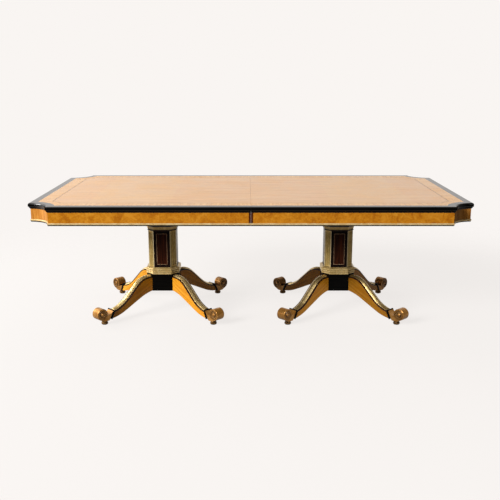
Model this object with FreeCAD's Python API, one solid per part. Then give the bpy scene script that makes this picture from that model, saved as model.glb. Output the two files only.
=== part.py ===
import FreeCAD, Part
import math
import os
from FreeCAD import Vector

# Extending dining table on two pedestals, in millimetres.
# X runs along the table, Y across it, Z up. The origin is on the floor under the middle of the top.
# The front is on the -Y side. Each left-hand piece is turned half a turn about Z to make the right-hand one.

# Whole table
table_length = 2450.0
table_width = 1270.0
table_height = 762.0
corner_scoop = 125.0
seam_gap = 0.6
glue_line = 0.05

# Top board, its veneers and its edge
core_thickness = 25.0
veneer_thickness = 2.0
edge_width = 47.0
edge_height = 33.0
crossband_width = 74.0
string_width = 3.0
string_corner = 220.0
nose_round = 10.0
nose_flat = 8.0
nose_under = 4.0
nose_step = 1.0
nose_drop = 6.0

# Apron under the edge, with a gilt bead below it
apron_setback = 11.0
apron_thickness = 22.0
apron_height = 57.0
bead_radius = 5.5
bead_sink = 1.0
bead_fillet = 4.5
bead_fillet_projection = 1.5
post_width = 11.5

# Dowels that line the halves up at the seam
dowel_radius = 5.0
dowel_length = 50.0
dowel_pitch = 300.0
dowel_count = 4
dowel_clearance = 0.3
dowel_end_room = 2.0

# Telescopic slides, one set towards the front and one towards the back
slide_share = 0.45
rail_width = 42.0
rail_height = 48.0
rail_length = 1050.0
rail_step = 125.0
rail_headroom = 2.0
rail_side_gap = 1.0
tongue_depth = 9.0
tongue_root = 14.0
tongue_tip = 20.0
tongue_clearance = 0.5

# Locks that hold the closed halves together
lock_inset = 125.0
lock_reach = 84.0
lock_plate_length = 54.0
lock_plate_width = 60.0
lock_plate_thickness = 3.0
lock_pin_radius = 4.0
lock_pin_clearance = 0.3
lock_head_radius = 8.0
lock_head_height = 3.0
lever_thickness = 4.0
lever_width = 16.0
lever_eye_radius = 11.0
lever_hook_radius = 14.0
lever_tail = 36.0
lever_play = 0.4
lever_slot_clearance = 1.2
lever_parked_angle = 80.0

# Pedestal frame under the top
pedestal_spacing = 1090.0
bearer_length = 420.0
bearer_width = 50.0
bearer_height = 65.0
bearer_spacing = 290.0
platform_length = 400.0
platform_width = 350.0
platform_thickness = 22.0
bolt_radius = 4.0
bolt_length = 60.0
bolt_head_radius = 8.0
bolt_head_height = 5.0
bolt_spacing = 320.0
bolt_clearance = 0.1

# Column, a chamfered square
column_width = 172.0
column_face = 100.0
facing_thickness = 12.0
line_width = 2.0
line_depth = 1.5
line_side_margin = 17.5
line_end_margin = 17.5
flute_count = 3
flute_pitch = 14.0
flute_radius = 5.5
flute_depth = 3.5
flute_end_margin = 14.0

# Heights of the pedestal's stages
hub_bottom = 140.0
hub_height = 105.0
base_height = 42.0
cap_height = 60.0
head_share = 0.2
head_projection = 8.0
base_projection = 17.0
base_reed_count = 3
base_reed = 12.0
base_reed_bulge = 2.5
base_cove_share = 0.36
base_neck_projection = 4.0
base_neck_height = 2.0
cap_astragal = 6.0
cap_astragal_projection = 1.0
cap_projection = 32.0
cap_plate_height = 12.0
cap_cove_sag = 6.5

# Tie rod from the hub to the platform
tie_radius = 6.0
tie_clearance = 0.5
washer_radius = 16.0
washer_thickness = 3.0
nut_across_flats = 19.0
nut_height = 10.0
tie_end = 4.0
nut_pocket_radius = 19.0
nut_pocket_depth = 22.0

# Hub and legs
hub_width = 198.0
leg_width = 52.0
leg_drop = 14.0
leg_rise = 2.0
tenon_length = 30.0
tenon_width = 24.0
tenon_shoulder = 10.0
crest_thickness = 7.0
crest_crown = 10.0
leg_string_width = 6.5
reed_count = 6
reed_height = 0.6

# Upper S curve of a leg, going outwards and down from the hub
shoulder_start = 24.0
shoulder_radius = 121.0
instep_radius = 210.0
instep_angle = 1.0
instep_rise = 45.0

# Lower S curve of a leg
belly_angle = 8.0
belly_radius = 320.0
sole_radius = 295.0
sole_angle = 1.7
sole_rise = 6.6

# Collar, scroll foot and pad; the collar's reach is from the column's axis, the others from the collar
collar_reach = 410.0
collar_lift = 29.0
collar_angle = 25.0
collar_thickness = 13.0
collar_proud = 5.0
collar_round = 3.0
ankle_beyond = 30.0
scroll_beyond = 78.0
pad_beyond = 48.0
scroll_radius = 35.0
scroll_lift = 10.0
scroll_rim = 5.0
scroll_recess = 2.5
scroll_round = 3.0
boss_radius = 11.5
boss_height = 6.5
toe_step = 2.0
saddle_dip = 12.0
saddle_sag = 5.0
spigot_radius = 4.5
spigot_length = 14.0
pad_height = 24.0
pad_foot_radius = 16.0
pad_bulge_radius = 20.0
pad_bulge_height = 9.0
pad_neck_radius = 15.0
pad_neck_height = 17.0
pad_collar_radius = 17.0
pad_spigot_radius = 5.0
pad_spigot_length = 14.0

# Heights worked out from the sizes above
core_top = table_height - veneer_thickness
core_bottom = core_top - core_thickness
edge_bottom = table_height - edge_height
apron_bottom = edge_bottom - apron_height
bead_bottom = apron_bottom - 2 * bead_radius - bead_fillet
bearer_bottom = core_bottom - bearer_height
platform_bottom = bearer_bottom - platform_thickness
hub_top = hub_bottom + hub_height
base_top = hub_top + base_height
cap_top = platform_bottom - head_share * (platform_bottom - base_top)
shaft_top = cap_top - cap_height

# Distances worked out from the sizes above
half_length = table_length / 2
half_width = table_width / 2
seam_x = -seam_gap / 2
pedestal_x = -pedestal_spacing / 2
apron_back = apron_setback + apron_thickness
slide_y = half_width * slide_share
lock_y = half_width - lock_inset
string_inset = edge_width + crossband_width
field_inset = string_inset + string_width
column_half = column_width / 2
column_face_half = column_face / 2
hub_half = hub_width / 2
hub_face_half = hub_half - leg_width / math.sqrt(2)
leg_root = (hub_half + hub_face_half) / math.sqrt(2)
leg_top = hub_top - leg_drop
leg_bottom = hub_bottom + leg_rise
collar_middle = pad_height + collar_lift
ankle_reach = collar_reach + ankle_beyond
scroll_reach = collar_reach + scroll_beyond
scroll_axis = pad_height + scroll_lift + scroll_radius
pad_reach = collar_reach + pad_beyond
bolt_tip = platform_bottom + bolt_length
lock_plate_bottom = core_bottom - lock_plate_thickness
lever_top = lock_plate_bottom - lever_play
lever_bottom = lever_top - lever_thickness
pin_bottom = lever_bottom - lever_play
far = 2 * table_length

QUARTERS = (0, 90, 180, 270)
DIAGONALS = (45, 135, 225, 315)
UP = Vector(0, 0, 1)
ORIGIN = Vector(0, 0, 0)


# Shapes used by many pieces

def block(x0, x1, y0, y1, z0, z1):
    return Part.makeBox(x1 - x0, y1 - y0, z1 - z0, Vector(x0, y0, z0))


def bar(radius, z0, z1, x=0.0, y=0.0):
    return Part.makeCylinder(radius, z1 - z0, Vector(x, y, z0))


def turned(shape, angle):
    copy = shape.copy()
    copy.rotate(ORIGIN, UP, angle)
    return copy


def moved(shape, x=0.0, y=0.0, z=0.0):
    copy = shape.copy()
    copy.translate(Vector(x, y, z))
    return copy


def path_edges(path, place):
    """Edges along an open path of (a, b) points; a list [via, end] in the path is an arc."""
    here = place(*path[0])
    edges = []
    for step in path[1:]:
        if isinstance(step, list):
            end = place(*step[1])
            edges.append(Part.Arc(here, place(*step[0]), end).toShape())
        else:
            end = place(*step)
            edges.append(Part.LineSegment(here, end).toShape())
        here = end
    return edges


def face(path, place):
    """A flat face inside a path whose last point is joined to its first."""
    return Part.Face(Part.Wire(path_edges(path + [path[0]], place)))


def backwards(path):
    """The same open path, walked from its end to its start."""
    ends = [step[1] if isinstance(step, list) else step for step in path]
    result = [ends[-1]]
    for index in range(len(path) - 1, 0, -1):
        step = path[index]
        result.append([step[0], ends[index - 1]] if isinstance(step, list) else ends[index - 1])
    return result


def mirrored(path):
    """The same open path on the other side of the second axis."""
    return [[(-a, b) for a, b in step] if isinstance(step, list) else (-step[0], step[1]) for step in path]


def swapped(path):
    """The same open path with its two axes changed over."""
    return [[(b, a) for a, b in step] if isinstance(step, list) else (step[1], step[0]) for step in path]


def shifted(path, offset):
    """The same open path, moved along the first axis."""
    return [
        [(a + offset, b) for a, b in step] if isinstance(step, list) else (step[0] + offset, step[1])
        for step in path
    ]


def round_step(centre, radius, from_angle, to_angle):
    """An arc step of a path, about a centre, between two angles in degrees."""
    points = []
    for angle in ((from_angle + to_angle) / 2, to_angle):
        turn = math.radians(angle)
        points.append((centre[0] + radius * math.cos(turn), centre[1] + radius * math.sin(turn)))
    return points


# Top

def half_plan(inset, radius=None):
    """Outline of the left half seen from above, inset from the table's edge, with its two scooped corners."""
    radius = radius or corner_scoop + inset
    reach = math.sqrt(radius ** 2 - inset ** 2)
    middle = radius * math.sqrt(0.5)
    return [
        (seam_x, inset - half_width),
        (reach - half_length, inset - half_width),
        [(middle - half_length, middle - half_width), (inset - half_length, reach - half_width)],
        (inset - half_length, half_width - reach),
        [(middle - half_length, half_width - middle), (reach - half_length, half_width - inset)],
        (seam_x, half_width - inset),
    ]


def slab(plan, z0, z1):
    return face(plan, lambda x, y: Vector(x, y, z0)).extrude(Vector(0, 0, z1 - z0))


def mitre_point(inset, radius):
    """Where a scoop of a given radius meets a straight side, measured from the table's corner."""
    return (math.sqrt(radius ** 2 - inset ** 2), inset)


def corner_wedges(mitre, z0, z1):
    """Cutters over the two scooped corners; both sides of each follow the mitre's path."""
    first = mitre[0]
    last = backwards(mitre)[0]
    step = Vector(last[0] - first[0], last[1] - first[1], 0).normalize() * edge_width
    near = (first[0] - step.x, first[1] - step.y)
    deep = (last[0] + step.x, last[1] + step.y)
    side = [near] + mitre + [deep]
    plan = side + backwards(swapped(side)) + [(-edge_width, -edge_width)]
    wedges = []
    for hand in (-1, 1):
        flat = face(plan, lambda a, b: Vector(a - half_length, hand * (half_width - b), z0))
        wedges.append(flat.extrude(Vector(0, 0, z1 - z0)))
    return wedges


def flat_lengths(ring, mitre, z0, z1):
    """A flat ring round the left half, cut at its mitres: (front, end, back) and the two corners."""
    wedges = corner_wedges(mitre, z0, z1)
    corners = [ring.common(wedge).Solids[0] for wedge in wedges]
    straights = ring.cut(wedges[0]).cut(wedges[1]).Solids
    return sorted(straights, key=lambda solid: solid.CenterOfMass.y), corners


def moulded_lengths(profile, inner, z0, z1):
    """A moulding round the left half, in its front, end and back lengths and its two corners.

    Its profile is (distance in from the edge, height) points, from the upper face to the lower one.
    """
    path = [(inner, z1)] + profile + [(inner, z0)]
    middle = mitre_point(inner / 2, corner_scoop + inner / 2)
    mitre = [mitre_point(0.0, corner_scoop), [middle, mitre_point(inner, corner_scoop + inner)]]
    wedges = corner_wedges(mitre, z0, z1)
    along = Vector(half_length + seam_x, 0, 0)
    front = face(path, lambda d, z: Vector(-half_length, d - half_width, z)).extrude(along)
    end = face(path, lambda d, z: Vector(d - half_length, -half_width, z)).extrude(Vector(0, table_width, 0))
    back = face(path, lambda d, z: Vector(-half_length, half_width - d, z)).extrude(along)
    lengths = [straight.cut(wedges[0]).cut(wedges[1]).Solids[0] for straight in (front, end, back)]
    for wedge, corner_y in zip(wedges, (-half_width, half_width)):
        scoop = face(path, lambda d, z: Vector(-half_length - corner_scoop - d, corner_y, z))
        turn = scoop.revolve(Vector(-half_length, corner_y, 0), UP, 360)
        lengths.append(turn.common(wedge).Solids[0])
    return lengths


def top_core(hole_radius):
    core = slab(half_plan(edge_width), core_bottom, core_top)
    for y in dowel_rows():
        hole = Part.makeCylinder(
            hole_radius,
            dowel_length / 2 + dowel_end_room,
            Vector(seam_x, y, core_bottom + core_thickness / 2),
            Vector(-1, 0, 0),
        )
        core = core.cut(hole)
    return [core]


def dowel_rows():
    return [dowel_pitch * (index - (dowel_count - 1) / 2) for index in range(dowel_count)]


def alignment_dowels():
    height = core_bottom + core_thickness / 2
    dowels = []
    for y in dowel_rows():
        start = Vector(-dowel_length / 2, y, height)
        dowels.append(Part.makeCylinder(dowel_radius, dowel_length, start, Vector(1, 0, 0)))
    return dowels


def field_veneer():
    radius = string_corner + string_width
    return [slab(half_plan(field_inset, radius), core_top, table_height)]


def crossband():
    ring = slab(half_plan(edge_width), core_top, table_height)
    ring = ring.cut(slab(half_plan(string_inset, string_corner), core_top, table_height))
    outer = mitre_point(edge_width, corner_scoop + edge_width)
    inner = mitre_point(string_inset, string_corner)
    straights, corners = flat_lengths(ring, [outer, inner], core_top, table_height)
    return straights + corners


def string_line():
    field_corner = string_corner + string_width
    ring = slab(half_plan(string_inset, string_corner), core_top, table_height)
    ring = ring.cut(slab(half_plan(field_inset, field_corner), core_top, table_height))
    outer = mitre_point(string_inset, string_corner)
    inner = mitre_point(field_inset, field_corner)
    straights, corners = flat_lengths(ring, [outer, inner], core_top, table_height)
    return straights + corners


def edge_moulding():
    """Black edge: a rounded nose over a step and a cove."""
    cove = edge_height - nose_round - nose_flat - nose_under - nose_drop
    under = table_height - nose_round - nose_flat
    cove_start = nose_under + nose_step
    profile = [
        (nose_round, table_height),
        round_step((nose_round, table_height - nose_round), nose_round, 90, 180),
        (0, under),
        round_step((nose_under, under), nose_under, 180, 270),
        (cove_start, under - nose_under),
        (cove_start, edge_bottom + cove),
        round_step((cove_start, edge_bottom), cove, 90, 0),
    ]
    return moulded_lengths(profile, edge_width, edge_bottom, table_height)


# Apron

def apron():
    """Apron pieces of the left half: (front, back), end, scooped corners and the posts at the seam."""
    ring = slab(half_plan(apron_setback), apron_bottom, edge_bottom)
    ring = ring.cut(slab(half_plan(apron_back), apron_bottom, edge_bottom))
    outer = mitre_point(apron_setback, corner_scoop + apron_setback)
    inner = mitre_point(apron_back, corner_scoop + apron_back)
    (front, end, back), corners = flat_lengths(ring, [outer, inner], apron_bottom, edge_bottom)
    post_zone = block(seam_x - post_width, seam_x, -half_width, half_width, apron_bottom, edge_bottom)
    posts = [front.common(post_zone).Solids[0], back.common(post_zone).Solids[0]]
    sides = [front.cut(post_zone).Solids[0], back.cut(post_zone).Solids[0]]
    return {"apron_sides": sides, "apron_end": [end], "apron_corners": corners, "apron_posts": posts}


def apron_bead():
    """Gilt half-round bead with a flat fillet under it."""
    axis = apron_setback + bead_sink
    fillet = apron_setback - bead_fillet_projection
    bead_end = apron_bottom - 2 * bead_radius
    profile = [
        (axis, apron_bottom),
        round_step((axis, apron_bottom - bead_radius), bead_radius, 90, 270),
        (fillet, bead_end),
        (fillet, bead_bottom),
    ]
    return moulded_lengths(profile, apron_back, bead_bottom, apron_bottom)


# Slides

def rail_groove(y):
    """Half height of a groove for the tongue, at a distance y from the middle of the centre rail."""
    flare = (tongue_tip - tongue_root) / 2 / tongue_depth
    slant = math.sqrt(1 + flare ** 2)
    return tongue_root / 2 + (y - rail_width / 2) * flare + tongue_clearance * slant


def centre_rail_section():
    body = rail_width / 2
    tip = body + tongue_depth
    right = [
        (body, -rail_height / 2),
        (body, -tongue_root / 2),
        (tip, -tongue_tip / 2),
        (tip, tongue_tip / 2),
        (body, tongue_root / 2),
        (body, rail_height / 2),
    ]
    return right + backwards(mirrored(right))


def outer_rail_section():
    near = rail_width / 2 + rail_side_gap
    deep = rail_width / 2 + tongue_depth + tongue_clearance
    return [
        (near, -rail_height / 2),
        (near + rail_width, -rail_height / 2),
        (near + rail_width, rail_height / 2),
        (near, rail_height / 2),
        (near, rail_groove(near)),
        (deep, rail_groove(deep)),
        (deep, -rail_groove(deep)),
        (near, -rail_groove(near)),
    ]


def rail(section, x0, side, set_y):
    """One rail along X; side is the way in which its section faces, set_y the middle of its set."""
    height = core_bottom - rail_headroom - rail_height / 2
    flat = face(section, lambda y, z: Vector(x0, set_y + side * y, height + z))
    return flat.extrude(Vector(rail_length, 0, 0))


def half_rails(hand):
    """Rails of the left (-1) or right (1) half, each seated on a packing strip under its own half's top.

    The left half has the inner rail of each set, and the right half the outer one.
    """
    start = hand * rail_step - rail_length / 2
    strip_x0, strip_x1 = (start, seam_x) if hand < 0 else (-seam_x, start + rail_length)
    rails = []
    for side in (-1, 1):
        set_y = side * slide_y
        way = hand * side
        near = set_y + way * (rail_width / 2 + rail_side_gap)
        y0, y1 = sorted((near, near + way * rail_width))
        strip = block(strip_x0, strip_x1, y0, y1, core_bottom - rail_headroom, core_bottom)
        rails.append(rail(outer_rail_section(), start, way, set_y).fuse(strip).removeSplitter())
    return rails


def centre_rails():
    return [rail(centre_rail_section(), -rail_length / 2, 1, side * slide_y) for side in (-1, 1)]


# Locks

def lock_plate(x, y):
    """Plate under the top, and the pin riveted into it that hangs down through the lever."""
    half_x, half_y = lock_plate_length / 2, lock_plate_width / 2
    plate = block(x - half_x, x + half_x, y - half_y, y + half_y, lock_plate_bottom, core_bottom)
    hole = bar(lock_pin_radius + glue_line, lock_plate_bottom, core_bottom, x, y)
    return [plate.cut(hole), bar(lock_pin_radius, pin_bottom, core_bottom, x, y)]


def lock_plates():
    """Pivot plates of the left half; a head under each pin keeps its lever on."""
    pieces = []
    for side in (-1, 1):
        x, y = -lock_reach / 2, side * lock_y
        plate, pin = lock_plate(x, y)
        head = bar(lock_head_radius, pin_bottom - lock_head_height, pin_bottom, x, y)
        pieces += [plate, pin.fuse(head).removeSplitter()]
    return pieces


def lock_keepers():
    return [piece for side in (-1, 1) for piece in lock_plate(lock_reach / 2, side * lock_y)]


def lock_lever(side):
    """Lever of the front (-1) or back (1) lock, parked clear of the seam.

    Its hook opens the way it swings shut.
    """
    lever = bar(lever_eye_radius, lever_bottom, lever_top)
    lever = lever.fuse(bar(lever_hook_radius, lever_bottom, lever_top, lock_reach))
    lever = lever.fuse(block(0, lock_reach, -lever_width / 2, lever_width / 2, lever_bottom, lever_top))
    lever = lever.fuse(block(-lever_tail, 0, -lever_width / 2, lever_width / 2, lever_bottom, lever_top))
    slot = lock_pin_radius + lever_slot_clearance
    mouth_0, mouth_1 = sorted((0, side * 2 * lever_hook_radius))
    hook = bar(slot, lever_bottom, lever_top, lock_reach)
    hook = hook.fuse(block(lock_reach - slot, lock_reach + slot, mouth_0, mouth_1, lever_bottom, lever_top))
    lever = lever.cut(hook)
    lever = lever.cut(bar(lock_pin_radius + lock_pin_clearance, lever_bottom, lever_top)).removeSplitter()
    return [moved(turned(lever, -side * lever_parked_angle), -lock_reach / 2, side * lock_y)]


# Pedestal, modelled about the Z axis

def octagon(half, face_half, inset=0.0):
    """Corners of a chamfered square, with every side moved in by the inset."""
    a = half - inset
    b = face_half - (math.sqrt(2) - 1) * inset
    return [(b, -a), (a, -b), (a, b), (b, a), (-b, a), (-a, b), (-a, -b), (-b, -a)]


def octagon_moulding(profile, half, face_half):
    """A moulding round a chamfered square; its profile is (projection, height) points from the bottom up."""
    diagonal = (half + face_half) / math.sqrt(2)
    solid = None
    for angle, reach in ((0, half), (45, diagonal), (90, half), (135, diagonal)):
        right = shifted(profile, reach)
        section = face(right + backwards(mirrored(right)), lambda x, z: Vector(x, -far, z))
        layer = turned(section.extrude(Vector(0, 2 * far, 0)), angle)
        solid = solid.common(layer) if solid else layer
    return solid


def bearers():
    half_x, half_y = bearer_length / 2, bearer_width / 2
    pieces = []
    for side in (-1, 1):
        y = side * bearer_spacing / 2
        bearer = block(-half_x, half_x, y - half_y, y + half_y, bearer_bottom, core_bottom)
        for x in (-bolt_spacing / 2, bolt_spacing / 2):
            bearer = bearer.cut(bar(bolt_radius + bolt_clearance, bearer_bottom, bolt_tip, x, y))
        pieces.append(bearer)
    return pieces


def platform():
    half_x, half_y = platform_length / 2, platform_width / 2
    board = block(-half_x, half_x, -half_y, half_y, platform_bottom, bearer_bottom)
    board = board.cut(bar(tie_radius + tie_clearance, platform_bottom, bearer_bottom))
    for x, y in bolt_places():
        board = board.cut(bar(bolt_radius + bolt_clearance, platform_bottom, bearer_bottom, x, y))
    return [board]


def bolt_places():
    half_x, half_y = bolt_spacing / 2, bearer_spacing / 2
    return [(-half_x, -half_y), (half_x, -half_y), (-half_x, half_y), (half_x, half_y)]


def pedestal_bolts():
    """Tie rod with its nuts and washers, and the bolts that hold the platform to the bearers."""
    pieces = []
    hub_seat = hub_bottom + nut_pocket_depth
    low_nut = hub_seat - washer_thickness - nut_height
    high_nut = bearer_bottom + washer_thickness
    pieces.append(bar(tie_radius, low_nut - tie_end, high_nut + nut_height + tie_end))
    bore = tie_radius + glue_line
    for z in (hub_seat - washer_thickness, bearer_bottom):
        washer = bar(washer_radius, z, z + washer_thickness)
        pieces.append(washer.cut(bar(bore, z, z + washer_thickness)))
    corner = nut_across_flats / math.sqrt(3)
    turns = [math.radians(60 * k) for k in range(6)]
    hexagon = [(corner * math.cos(turn), corner * math.sin(turn)) for turn in turns]
    for z in (low_nut, high_nut):
        pieces.append(slab(hexagon, z, z + nut_height).cut(bar(bore, z, z + nut_height)))
    for x, y in bolt_places():
        head = bar(bolt_head_radius, platform_bottom - bolt_head_height, platform_bottom, x, y)
        pieces.append(head.fuse(bar(bolt_radius, platform_bottom, bolt_tip, x, y)).removeSplitter())
    return pieces


def column_core():
    """Octagonal core with a broader head between the cap and the platform."""
    core = slab(octagon(column_half, column_face_half, facing_thickness), hub_top, cap_top)
    head = slab(octagon(column_half, column_face_half, -head_projection), cap_top, platform_bottom)
    core = core.fuse(head).removeSplitter()
    return [core.cut(bar(tie_radius + tie_clearance, hub_top, platform_bottom))]


def facing(outer_half, inner_half, distance):
    """One board of the column's skin, facing -Y, mitred on both edges."""
    inner = distance - facing_thickness
    plan = [(-outer_half, -distance), (outer_half, -distance), (inner_half, -inner), (-inner_half, -inner)]
    return slab(plan, base_top, shaft_top)


def line_frame():
    """Rectangular brass line let into the front panel."""
    half_x = column_face_half - line_side_margin
    z0, z1 = base_top + line_end_margin, shaft_top - line_end_margin
    y0, y1 = -column_half, line_depth - column_half
    outer = block(-half_x, half_x, y0, y1, z0, z1)
    hole = block(line_width - half_x, half_x - line_width, y0, y1, z0 + line_width, z1 - line_width)
    return outer.cut(hole)


def column_panels():
    inner_half = column_face_half - (math.sqrt(2) - 1) * facing_thickness
    panel = facing(column_face_half, inner_half, column_half).cut(line_frame())
    return [turned(panel, angle) for angle in QUARTERS]


def panel_lines():
    return [turned(line_frame(), angle) for angle in QUARTERS]


def pilasters():
    """Gilt boards on the column's chamfers, each with round-ended flutes."""
    outer_half = (column_half - column_face_half) / math.sqrt(2)
    inner_half = outer_half - (math.sqrt(2) - 1) * facing_thickness
    distance = (column_half + column_face_half) / math.sqrt(2)
    pilaster = facing(outer_half, inner_half, distance)
    axis_y = -distance - (flute_radius - flute_depth)
    z0, z1 = base_top + flute_end_margin, shaft_top - flute_end_margin
    for index in range(flute_count):
        x = flute_pitch * (index - (flute_count - 1) / 2)
        flute = bar(flute_radius, z0, z1, x, axis_y)
        for z in (z0, z1):
            flute = flute.fuse(Part.makeSphere(flute_radius, Vector(x, axis_y, z)))
        pilaster = pilaster.cut(flute)
    return [turned(pilaster, angle) for angle in DIAGONALS]


def ring_round_core(moulding, z0, z1):
    hole = slab(octagon(column_half, column_face_half, facing_thickness - glue_line), z0, z1)
    return [moulding.cut(hole)]


def cap_moulding():
    """Bead at the neck, then a cove that spreads to a plate under the column's head."""
    neck = cap_astragal_projection
    cove_start = shaft_top + cap_astragal
    plate_bottom = cap_top - cap_plate_height
    chord = Vector(cap_projection - neck, plate_bottom - cove_start, 0)
    inward = Vector(-chord.y, chord.x, 0).normalize() * cap_cove_sag
    middle = Vector(neck, cove_start, 0) + chord * 0.5 + inward
    bulge = neck + cap_astragal / 2
    profile = [
        (neck, shaft_top),
        [(bulge, shaft_top + cap_astragal / 2), (neck, cove_start)],
        [(middle.x, middle.y), (cap_projection, plate_bottom)],
        (cap_projection, cap_top),
    ]
    return ring_round_core(octagon_moulding(profile, column_half, column_face_half), shaft_top, cap_top)


def base_moulding():
    """Reeds under a cove that runs up to the shaft."""
    reach = base_projection
    profile = [(reach - base_reed_bulge, hub_top)]
    height = hub_top
    for reed in range(base_reed_count):
        middle = height + base_reed / 2
        height += base_reed
        profile.append([(reach, middle), (reach - base_reed_bulge, height)])
    neck_bottom = base_top - base_neck_height
    cove_x = base_neck_projection + (reach - base_reed_bulge - base_neck_projection) * base_cove_share
    cove_z = height + (neck_bottom - height) * base_cove_share
    profile.append([(cove_x, cove_z), (base_neck_projection, neck_bottom)])
    profile.append((base_neck_projection, base_top))
    return ring_round_core(octagon_moulding(profile, column_half, column_face_half), hub_top, base_top)


def tenon(room=0.0):
    """Tenon at the root of the leg that points along +X, or its mortise when given some room."""
    half = tenon_width / 2 + room
    z0 = leg_bottom + tenon_shoulder - room
    z1 = leg_top - crest_thickness - tenon_shoulder + room
    return block(leg_root - tenon_length - room, leg_root, -half, half, z0, z1)


def hub():
    body = slab(octagon(hub_half, hub_face_half), hub_bottom, hub_top)
    body = body.cut(bar(tie_radius + tie_clearance, hub_bottom, hub_top))
    body = body.cut(bar(nut_pocket_radius, hub_bottom, hub_bottom + nut_pocket_depth))
    for angle in DIAGONALS:
        body = body.cut(turned(tenon(glue_line), angle))
    return [body]


# Legs, modelled along +X from the column's axis

class LegCurve:
    """S curve in (reach, height): a bend down at its start, a bend up at its end, and a tangent between them.

    A slope is the angle below the horizontal, in degrees, of the curve at its start or end.
    """

    def __init__(self, start, start_slope, bend_radius, end, end_slope, lift_radius):
        self.first_slope = math.radians(start_slope)
        self.bend_radius = bend_radius
        self.lift_radius = lift_radius
        self.end_reach = end[0]
        last_slope = math.radians(end_slope)
        self.bend_centre = (
            start[0] - bend_radius * math.sin(self.first_slope),
            start[1] - bend_radius * math.cos(self.first_slope),
        )
        self.lift_centre = (
            end[0] + lift_radius * math.sin(last_slope),
            end[1] + lift_radius * math.cos(last_slope),
        )
        across = self.lift_centre[0] - self.bend_centre[0]
        up = self.lift_centre[1] - self.bend_centre[1]
        radii = bend_radius + lift_radius
        self.slope = math.asin(radii / math.hypot(across, up)) - math.atan2(up, across)

    def bend_point(self, slope, inset):
        radius = self.bend_radius - inset
        r, z = self.bend_centre
        return (r + radius * math.sin(slope), z + radius * math.cos(slope))

    def lift_point(self, slope, inset):
        radius = self.lift_radius + inset
        r, z = self.lift_centre
        return (r - radius * math.sin(slope), z - radius * math.cos(slope))

    def path(self, inset=0.0):
        """Path of the curve moved down by an inset, square to itself."""
        last_slope = math.asin((self.lift_centre[0] - self.end_reach) / (self.lift_radius + inset))
        return [
            self.bend_point(self.first_slope, inset),
            [self.bend_point((self.first_slope + self.slope) / 2, inset), self.bend_point(self.slope, inset)],
            self.lift_point(self.slope, inset),
            [self.lift_point((self.slope + last_slope) / 2, inset), self.lift_point(last_slope, inset)],
        ]

    def height_on_collar(self):
        """How far up the collar's lean, from its middle, the curve crosses it."""
        lean = math.radians(collar_angle)
        across = collar_reach - self.lift_centre[0]
        up = collar_middle - self.lift_centre[1]
        along = up * math.cos(lean) - across * math.sin(lean)
        return -along - math.sqrt(along ** 2 - across ** 2 - up ** 2 + self.lift_radius ** 2)


upper_curve = LegCurve(
    (leg_root + shoulder_start, leg_top),
    0.0,
    shoulder_radius,
    (ankle_reach, pad_height + instep_rise),
    instep_angle,
    instep_radius,
)
lower_curve = LegCurve(
    (leg_root, leg_bottom),
    belly_angle,
    belly_radius,
    (ankle_reach, pad_height + sole_rise),
    sole_angle,
    sole_radius,
)


def upright(r, z):
    return Vector(r, 0, z)


def leaned(shape):
    """A shape modelled on the collar's inner face, put in its leaning place."""
    copy = shape.copy()
    copy.rotate(ORIGIN, Vector(0, 1, 0), -collar_angle)
    copy.translate(Vector(collar_reach, 0, collar_middle))
    return copy


def beyond_collar():
    """Everything on the foot's side of the collar's inner face."""
    size = scroll_reach
    return leaned(block(0, size, -size, size, -size, size))


def spigot(room=0.0):
    """Spigot of the scroll foot, through the collar and into the leg, or its hole when given some room."""
    pin = Part.makeCylinder(
        spigot_radius + room,
        spigot_length + collar_thickness + room,
        Vector(-spigot_length - room, 0, 0),
        Vector(1, 0, 0),
    )
    return leaned(pin)


def on_four_legs(pieces):
    return [turned(piece, angle) for angle in DIAGONALS for piece in pieces]


def legs():
    top_inset = crest_thickness + glue_line
    top = [(leg_root, leg_top - top_inset)] + upper_curve.path(top_inset)
    side = face(lower_curve.path() + backwards(top), upright)
    leg = moved(side.extrude(Vector(0, leg_width, 0)), y=-leg_width / 2)
    leg = leg.cut(beyond_collar()).cut(spigot(glue_line))
    return on_four_legs([leg.fuse(tenon()).removeSplitter()])


def along_leg(section):
    """A section of (across, height) points, swept along the top of the leg and cut at the collar."""
    path = [(leg_root, leg_top - crest_thickness)] + upper_curve.path(crest_thickness)
    spine = Part.Wire(path_edges(path, upright))
    start = face(section, lambda y, z: Vector(leg_root, y, leg_top - crest_thickness + z))
    swept = spine.makePipeShell([start.OuterWire], True, False)
    return swept.cut(beyond_collar()).Solids[0]


def crown(y, half):
    """How far the crest rises above its edges, at a distance y from its middle."""
    return crest_crown * (1 - (y / half) ** 2)


def leg_crests():
    """Gilt strip on top of each leg, with a crowned row of reeds."""
    half = leg_width / 2 - leg_string_width
    pitch = 2 * half / reed_count
    valley = crest_thickness - reed_height
    section = [(-half, 0), (half, 0), (half, valley)]
    for index in range(reed_count):
        left = half - pitch * (index + 1)
        middle = left + pitch / 2
        top = crest_thickness + crown(middle, half)
        section.append([(middle, top), (left, valley + crown(left, half))])
    return on_four_legs([along_leg(section)])


def leg_strings():
    """Black bead along both top corners of each leg."""
    inner = leg_width / 2 - leg_string_width
    middle = leg_width / 2 - leg_string_width / 2
    shoulder = crest_thickness - leg_string_width / 2
    section = [
        (inner, 0),
        (leg_width / 2, 0),
        (leg_width / 2, shoulder),
        [(middle, crest_thickness), (inner, shoulder)],
    ]
    string = along_leg(section)
    return on_four_legs([string, string.mirror(ORIGIN, Vector(0, 1, 0))])


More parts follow.
